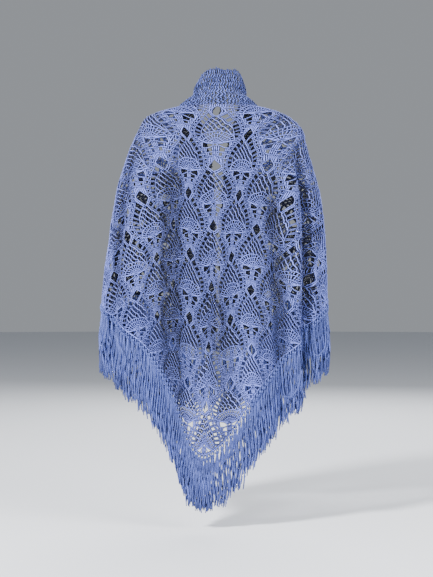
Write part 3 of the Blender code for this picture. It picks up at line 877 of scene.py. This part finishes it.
def hem_strands(first, last):
    """The hem's cord between two places across the flat cut, in centimetres."""
    strands = []
    width = HALF_WIDTH / CM
    depth = DEPTH / CM
    inward = np.array([-depth, -width]) / math.hypot(width, depth)
    for side in (-1, 1):
        start = max(0.0, side * first if side > 0 else side * last)
        end = min(side * last if side > 0 else side * first, width - HEM_END)
        if end <= start + HEM_LEAST:
            continue
        across = np.linspace(start, end, max(2, round((end - start) / HEM_STEP)))
        line = np.column_stack([across, (1 - across / width) * depth]) + inward * HEM_INSET
        line[:, 0] = np.clip(line[:, 0], start, end) * side
        strands.append(strand(line, CORD_STEP, HIGH, 0.0, CORD_HALF, CORD_DEPTH))
    return strands


def fold_shade(points):
    """How much darker the yarn is painted in the folds, as shade, and lighter on the ridges between
    them, as light; half as much in front.
    """
    height = points[:, 2]
    left = smooth(RINGS["height"] * CM, RINGS["left"] * CM, height)
    right = smooth(RINGS["height"] * CM, RINGS["right"] * CM, height)
    share = np.abs(points[:, 0]) / np.where(points[:, 0] > 0, left, right)
    turn = np.degrees(np.arcsin(np.clip(share, 0, 1) ** (SQUARENESS / 2)))
    turn = np.sign(points[:, 0]) * np.where(points[:, 1] > 0, turn, 180 - turn)
    shade = np.clip(FOLD_SHADE * fold_depth(turn, height), *FOLD_SHADE_LIMITS)
    return np.where(points[:, 1] > 0, shade, shade / 2)


def finish_piece(bm, name, material):
    """Makes the piece from its mesh, at the origin and riding on the part."""
    mesh = made_mesh(bm, name)
    mesh.shade_smooth()
    mesh.materials.append(material)
    piece = add_object(name, mesh)
    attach(piece, "root")
    return piece


def make_lace(name, first, last, motifs, material):
    """The lace between two places across the flat cut, in metres; its end rows are denser."""
    top_motif, middle_motif, low_motif = motifs
    first = first / CM
    last = last / CM
    width = HALF_WIDTH / CM
    depth = DEPTH / CM
    bm = new_piece_mesh()
    half_motif = MOTIF_WIDTH / CM / 2
    row_height = ROW_HEIGHT / CM
    most = MOTIF_ROWS + ROWS_ABOVE
    for row in range(-ROWS_ABOVE, MOTIF_ROWS + 1):
        down = FIRST_DIAMOND / CM + row * row_height
        reach = width * (1 - (down - MOTIF_RISE) / depth) + half_motif
        for count in range(-most, most + 1):
            across = count * half_motif
            beyond = abs(across) > reach
            aside = across + half_motif < first or across - half_motif > last
            if (row + count) % 2 or beyond or aside:
                continue
            before = len(bm.verts)
            below_top = low_motif if row >= DENSE_ROW else middle_motif
            bm.from_mesh(top_motif if row < TOP_ROWS else below_top)
            bm.verts.ensure_lookup_table()
            bmesh.ops.translate(bm, vec=(across, down, 0), verts=bm.verts[before:])
    cut_off(bm, (0, LACE_TOP, 0), (0, -1, 0))
    for side in (-1, 1):
        inset = HEM_INSET * math.hypot(width, depth) / width
        cut_off(bm, (0, depth - inset, 0), (side * depth, width, 0))
    if first > -width:
        cut_off(bm, (first, 0, 0), (-1, 0, 0))
    if last < width:
        cut_off(bm, (last, 0, 0), (1, 0, 0))
    close_ends(bm)
    strands = hem_strands(first, last)
    if first < 0 < last:
        top = FIRST_DIAMOND / CM
        strands += mirrored([strand(NECK_POST + (0, top), half=CORD_HALF)])
    add_tubes(bm, strands)
    flat = np.array([vert.co[:] for vert in bm.verts])
    moved = wobble(flat)
    fade = np.clip(flat[:, 1:2] / WOBBLE_FADE, 0, 1)
    hem_gap = depth * (1 - np.abs(flat[:, 0:1]) / width) - flat[:, 1:2]
    fade = fade * np.clip(hem_gap / HEM_FADE, 0, 1)
    moved = flat + (moved - flat) * fade
    mapped, _ = lace_place(moved[:, 0] * CM, moved[:, 1] * CM, moved[:, 2] * CM)
    ply = bm.verts.layers.float_vector["ply"]
    # Painted shade in the folds and painted light on their ridges, through the ply attribute.
    for vert, place, shade in zip(bm.verts, mapped, fold_shade(mapped), strict=True):
        vert.co = place
        vert[ply].y -= shade
    return finish_piece(bm, name, material)


def band_end(share):
    """How far the band reaches along the long edge, at a share of its width."""
    return HALF_WIDTH * (1 + share * BAND_WIDTH / DEPTH)


def make_band(name, first, last, material):
    """The band's rows of close stitches between two places along the long edge, in metres."""
    strands = []
    rng = np.random.default_rng(BAND_SEED)
    row_height = BAND_WIDTH / CM / BAND_ROWS
    for row in range(BAND_ROWS):
        share = (row + 0.5) / BAND_ROWS
        low = row * row_height
        high = low + row_height
        start = first if first > -HALF_WIDTH else -band_end(share)
        end = last if last < HALF_WIDTH else band_end(share)
        start = start / CM
        end = end / CM
        count = round((end - start) / STITCH)
        places = start + (np.arange(count) + 0.5) * (end - start) / count
        lean = STITCH_LEAN * (1 if row % 2 else -1)
        for place in places:
            drift = rng.uniform(-STITCH_DRIFT, STITCH_DRIFT, 2)
            foot = (place - lean + drift[0], low - STITCH_OVERLAP)
            head = (place + lean + drift[1], high + STITCH_OVERLAP)
            lift = rng.uniform(LOW, HIGH)
            made = strand((foot, head), STITCH_STEP, lift, BULGE, STITCH_HALF, STITCH_DEPTH)
            strands.append(made)
        across = np.arange(start, end + RIDGE_PAST, STITCH / 2)
        beat = np.arange(len(across)) % 2 * 2 - 1
        level = high - RIDGE_DROP + RIDGE_WAVE * beat * np.sin(across * RIDGE_WAVES[0] + row)
        out = RIDGE_LIFT + RIDGE_WAVE * beat * np.cos(across * RIDGE_WAVES[1] + row)
        strands.append((np.column_stack([across, level, out]), RIDGE_HALF, RIDGE_HALF))
        if row == BAND_ROWS - 1:
            foot = high - EDGE_FOOT
            for place in np.arange(start, end - EDGE_PITCH, EDGE_PITCH):
                rise = high + EDGE_RISE * (1 - EDGE_VARIES + EDGE_VARIES * math.sin(place))
                middle = place + EDGE_PITCH / 2
                arc = ((place, foot), (middle, rise), (place + EDGE_PITCH, foot))
                strands.append(strand(arc, lift=RIDGE_LIFT, half=EDGE_HALF))
    bm = new_piece_mesh()
    add_tubes(bm, strands)
    flat = np.array([vert.co[:] for vert in bm.verts])
    moved = wobble(flat)
    fade = np.clip(flat[:, 1:2] / WOBBLE_FADE, 0, 1)
    flat = (flat + (moved - flat) * fade * BAND_WOBBLE) * CM
    mapped, _ = band_place(flat[:, 0], flat[:, 1] / BAND_WIDTH, flat[:, 2])
    for vert, place in zip(bm.verts, mapped, strict=True):
        vert.co = place
    bmesh.ops.recalc_face_normals(bm, faces=bm.faces[:])
    return finish_piece(bm, name, material)


def tassel_strands(root, aside, ahead, length, seed):
    """The strands of one tassel and the knot that holds them, hanging from a place on the hem."""
    strands = []
    knot = root - (0, 0, KNOT_DROP)
    down = np.linspace(0, 1, STRAND_STEPS) ** STRAND_CROWDING
    for count in range(TASSEL_STRANDS):
        turn = seed * TASSEL_TURN + count * STRAND_TURN
        spot = (count + 0.5) / TASSEL_STRANDS * 2 - 1
        shorter = 0.5 + 0.5 * math.sin(turn * SHORTER_TURNS)
        drop = down * (length * (1 - STRAND_SHORTER * shorter))
        open_out = ease(drop / (length * TASSEL_OPEN_AT)) * (1 - TASSEL_CLOSED) + TASSEL_CLOSED
        aside_wave = drop * (WAVES_ASIDE + WAVES_VARY * math.sin(turn)) + turn
        ahead_wave = drop * (WAVES_AHEAD + WAVES_VARY * math.cos(turn)) + turn * 2
        sideways = spot * TASSEL_SPREAD * open_out
        sideways += STRAND_WAVE * np.sin(aside_wave) * open_out
        depth = TASSEL_DEPTH * math.sin(turn * DEPTH_TURNS) * open_out
        depth += STRAND_WAVE * np.sin(ahead_wave) * open_out
        line = knot + aside * sideways[:, None] + ahead * depth[:, None]
        line[:, 2] -= drop
        strands.append((line, STRAND_HALF, STRAND_HALF))
    angles = np.linspace(0, 2 * math.pi, KNOT_STEPS)
    for level in KNOT_LEVELS:
        ring = knot + aside * (KNOT_RADIUS * np.cos(angles))[:, None]
        ring = ring + ahead * (KNOT_RADIUS * KNOT_FLATNESS * np.sin(angles))[:, None]
        ring[:, 2] += level + KNOT_SLANT * np.cos(angles)
        strands.append((ring, KNOT_HALF, KNOT_HALF))
    for side in (-1, 1):
        loop = [root + aside * side * a + ahead * b + (0, 0, c) for a, b, c in KNOT_LOOP]
        strands.append((spaced(loop, KNOT_LOOP_STEP), KNOT_HALF, KNOT_HALF))
    return strands


def loose_loop(side, start, end, hang):
    """A tassel's strand that was never cut: it hangs in a loop from one knot to another."""
    turn = np.linspace(0, math.pi, LOOP_STEPS)
    drop = np.sin(turn).clip(0) ** LOOP_NARROWNESS
    line, normals = hem_place(side, start + (end - start) * (1 - np.cos(turn)) / 2)
    ahead = np.mean(normals, axis=0) * (1, 1, 0)
    ahead /= np.linalg.norm(ahead)
    line = line + ahead * (LOOP_AHEAD * drop)[:, None]
    line[:, 2] -= KNOT_DROP + hang * drop
    return line, STRAND_HALF, STRAND_HALF


def make_fringe(name, side, first, last, material):
    """The tassels between two cells of the hem, counted from the back tip."""
    count = round((last - first) * LOCKS_PER_CELL)
    cell = first + (np.arange(count) + 0.5) / LOCKS_PER_CELL
    roots, normals = hem_place(side, cell)
    before, _ = hem_place(side, cell - ROOT_CELLS)
    after, _ = hem_place(side, cell + ROOT_CELLS)
    asides = unit((after - before) * (1, 1, 0))
    aheads = np.cross(asides, (0, 0, 1))
    aheads *= np.sign(np.sum(aheads * normals, axis=1))[:, None]
    strands = []
    for k in range(count):
        seed = k + first * LOCKS_PER_CELL
        length = FRINGE_LENGTH + LENGTH_VARIES * math.sin(LENGTH_WAVE * seed + 1)
        length -= TIP_SHORTER * max(0, 1 - seed / TIP_LOCKS)
        strands += tassel_strands(roots[k], asides[k], aheads[k], length, seed)
    for start, end, hang in LOOSE_LOOPS:
        if side < 0 and first <= start and end <= last:
            strands.append(loose_loop(side, start, end, hang))
    bm = new_piece_mesh()
    add_tubes(bm, strands)
    bmesh.ops.recalc_face_normals(bm, faces=bm.faces[:])
    return finish_piece(bm, name, material)


def set_inputs(node, values):
    """Sets a node's inputs by their names."""
    for name, value in values.items():
        node.inputs[name].default_value = value


def yarn_material(name, colour, metres, shades):
    """Plied yarn; metres is the length of one unit along it in the ply attribute.
    Its colour holds painted shade on its sides, in folds and on sunk strands, a painted highlight
    on its crown, and as much painted light on its back as shades gives.
    """
    material = bpy.data.materials.new(name)
    material.use_nodes = True
    nodes = material.node_tree.nodes
    links = material.node_tree.links
    shader = nodes["Principled BSDF"]
    set_inputs(shader, YARN_SURFACE)

    def math_node(kind, a, b=0.0):
        node = nodes.new("ShaderNodeMath")
        node.operation = kind
        for socket, value in zip(node.inputs, (a, b)):
            if isinstance(value, (int, float)):
                socket.default_value = value
            else:
                links.new(value, socket)
        return node.outputs[0]

    def noise(scale):
        node = nodes.new("ShaderNodeTexNoise")
        set_inputs(node, {"Scale": scale, "Detail": NOISE_DETAIL})
        links.new(place.outputs["Object"], node.inputs["Vector"])
        return node.outputs["Fac"]

    def ramp(value, given, wanted):
        node = nodes.new("ShaderNodeMapRange")
        set_inputs(node, {"From Min": given[0], "From Max": given[1]})
        set_inputs(node, {"To Min": wanted[0], "To Max": wanted[1]})
        links.new(value, node.inputs["Value"])
        return node.outputs["Result"]

    place = nodes.new("ShaderNodeTexCoord")
    ply = nodes.new("ShaderNodeAttribute")
    ply.attribute_name = "ply"
    split = nodes.new("ShaderNodeSeparateXYZ")
    links.new(ply.outputs["Vector"], split.inputs["Vector"])
    phase = math_node("MULTIPLY", split.outputs["Z"], 2 * math.pi * metres / PLY_PITCH)
    one = math_node("MULTIPLY", math_node("SINE", phase), split.outputs["X"])
    two = math_node("MULTIPLY", math_node("COSINE", phase), split.outputs["Y"])
    twist = math_node("ADD", one, two)
    fuzz = noise(FUZZ_SCALE)
    blotch = noise(BLOTCH_SCALE)
    # Painted shade in the crevices between the plies, times the yarn's tone, which fuzz and
    # blotches vary at random.
    shade = math_node("MULTIPLY", ramp(twist, *TWIST_PAINTED_SHADE), ramp(fuzz, *FUZZ_SHADES))
    shade = math_node("MULTIPLY", shade, ramp(blotch, *BLOTCH_SHADES))
    # Painted shade on the sides, rising to a painted highlight on the crown, read from the ply
    # attribute's Y, which also holds the painted shade of sunk strands and folds; and painted light
    # on the back that faces the wearer.
    rise, side, crown, back = shades
    painted_side_and_crown = ramp(split.outputs["Y"], (rise, 1.0), (side, crown))
    painted_back_light = ramp(split.outputs["Y"], BACK_REACH, (0.0, back))
    shade = math_node("MULTIPLY", shade, math_node("ADD", painted_side_and_crown, painted_back_light))
    mix = nodes.new("ShaderNodeMix")
    mix.data_type = "RGBA"
    mix.blend_type = "MULTIPLY"
    set_inputs(mix, {"Factor": 1.0, "A": (*colour, 1.0)})
    grey = nodes.new("ShaderNodeCombineColor")
    for channel in ("Red", "Green", "Blue"):
        links.new(shade, grey.inputs[channel])
    links.new(grey.outputs["Color"], mix.inputs["B"])
    links.new(mix.outputs["Result"], shader.inputs["Base Color"])
    height = math_node("ADD", twist, math_node("MULTIPLY", fuzz, FUZZ_HEIGHT))
    bump = nodes.new("ShaderNodeBump")
    set_inputs(bump, BUMP)
    links.new(height, bump.inputs["Height"])
    links.new(bump.outputs["Normal"], shader.inputs["Normal"])
    return material


def make_floor():
    """A plain pale floor, well below the tip of the fringe."""
    material = bpy.data.materials.new("floor")
    material.use_nodes = True
    set_inputs(material.node_tree.nodes["Principled BSDF"], FLOOR_SURFACE)
    bm = bmesh.new()
    bmesh.ops.create_circle(bm, cap_ends=True, segments=FLOOR_SIDES, radius=FLOOR_RADIUS)
    bmesh.ops.translate(bm, vec=(0, 0, FLOOR_HEIGHT), verts=bm.verts[:])
    mesh = made_mesh(bm, "floor")
    mesh.materials.append(material)
    floor = add_object("floor", mesh)


def add_lamp(name, place, size, power):
    """A soft round lamp that faces the shawl's middle."""
    light = bpy.data.lights.new(name, "AREA")
    light.shape = "DISK"
    light.size = size
    light.energy = power
    lamp = add_object(name, light)
    lamp.location = place
    away = np.subtract(place, LIT_POINT)
    turn = math.atan2(away[1], away[0]) + math.pi / 2
    tilt = math.acos(away[2] / np.linalg.norm(away))
    lamp.rotation_euler = (tilt, 0, turn)


def make_camera():
    """The camera, straight behind the shawl."""
    camera = bpy.data.cameras.new("camera")
    camera.sensor_width = SENSOR_WIDTH
    camera.lens = CAMERA_LENS
    viewer = add_object("camera", camera)
    viewer.location = CAMERA_AT
    viewer.rotation_euler = CAMERA_TURN
    bpy.context.scene.camera = viewer


def make_light():
    """The sky and the lamps."""
    world = bpy.data.worlds.new("studio")
    bpy.context.scene.world = world
    world.use_nodes = True
    set_inputs(world.node_tree.nodes["Background"], SKY)
    for name, place, size, power in LAMPS:
        add_lamp(name, place, size, power)


def motif_mesh(stoutness):
    """One motif, flat, with its yarn made stouter by a factor."""
    bm = new_piece_mesh()
    strands = [(line, half * stoutness, depth) for line, half, depth in motif_strands()]
    add_tubes(bm, strands)
    bmesh.ops.recalc_face_normals(bm, faces=bm.faces[:])
    return made_mesh(bm, "motif")


def flat_area(first, last):
    """The area of the flat lace triangle between two places across it, in square metres."""

    def up_to(place):
        away = min(abs(place), HALF_WIDTH)
        return math.copysign(DEPTH * (away - away * away / 2 / HALF_WIDTH), place)

    return up_to(last) - up_to(first)


def main():
    """Makes each piece in turn, with what it replaces, and then the studio."""
    make_camera()
    # The fronts' and band's yarns are shaded copies of the back's and collar's: their back, which
    # faces the wearer, is painted dark as shade, and their painted highlights differ a little.
    lace_yarn = yarn_material("lace_yarn", LACE_BLUE, CM, LACE_PAINTED_LIGHT)
    front_yarn = yarn_material("front_yarn", LACE_BLUE, CM, FRONT_PAINTED_LIGHT)
    collar_yarn = yarn_material("collar_yarn", BAND_BLUE, CM, COLLAR_PAINTED_LIGHT)
    band_yarn = yarn_material("band_yarn", BAND_BLUE, CM, BAND_PAINTED_LIGHT)
    fringe_yarn = yarn_material("fringe_yarn", FRINGE_BLUE, 1.0, FRINGE_PAINTED_LIGHT)
    back_motif = motif_mesh(1.0)
    front_motif = motif_mesh(FRONT_STOUTNESS)
    dense_motif = motif_mesh(DENSE_STOUTNESS)
    top_motif = motif_mesh(TOP_STOUTNESS)
    for name, first, last, node, _ in LACE_PIECES:
        shown = name if name != node else name + "_yarn"
        motifs = (top_motif, back_motif, dense_motif)
        if node != "lace_back":
            motifs = (front_motif, front_motif, dense_motif)
        yarn = lace_yarn if node == "lace_back" else front_yarn
        piece = make_lace(shown, first, last, motifs, yarn)
        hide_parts(node)
    for motif in (back_motif, front_motif, dense_motif, top_motif):
        bpy.data.meshes.remove(motif)
    for name, first, last in (
        ("collar", -COLLAR_END, COLLAR_END),
        ("band_left", COLLAR_END, HALF_WIDTH),
        ("band_right", -HALF_WIDTH, -COLLAR_END),
    ):
        yarn = collar_yarn if name == "collar" else band_yarn
        piece = make_band(name + "_yarn", first, last, yarn)
        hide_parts(name)
    for name, side, first, last in (
        ("fringe_back_left", 1, 0, FRONT_CELL),
        ("fringe_back_right", -1, 0, FRONT_CELL),
        ("fringe_front_left", 1, FRONT_CELL, HEM_CELLS + END_CELLS),
        ("fringe_front_right", -1, FRONT_CELL, HEM_CELLS + END_CELLS),
    ):
        piece = make_fringe(name + "_yarn", side, first, last, fringe_yarn)
        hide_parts(name)
    for name, first, last, _, fringe in LACE_PIECES:
        flat_area(first, last)
    make_floor()
    make_light()


main()
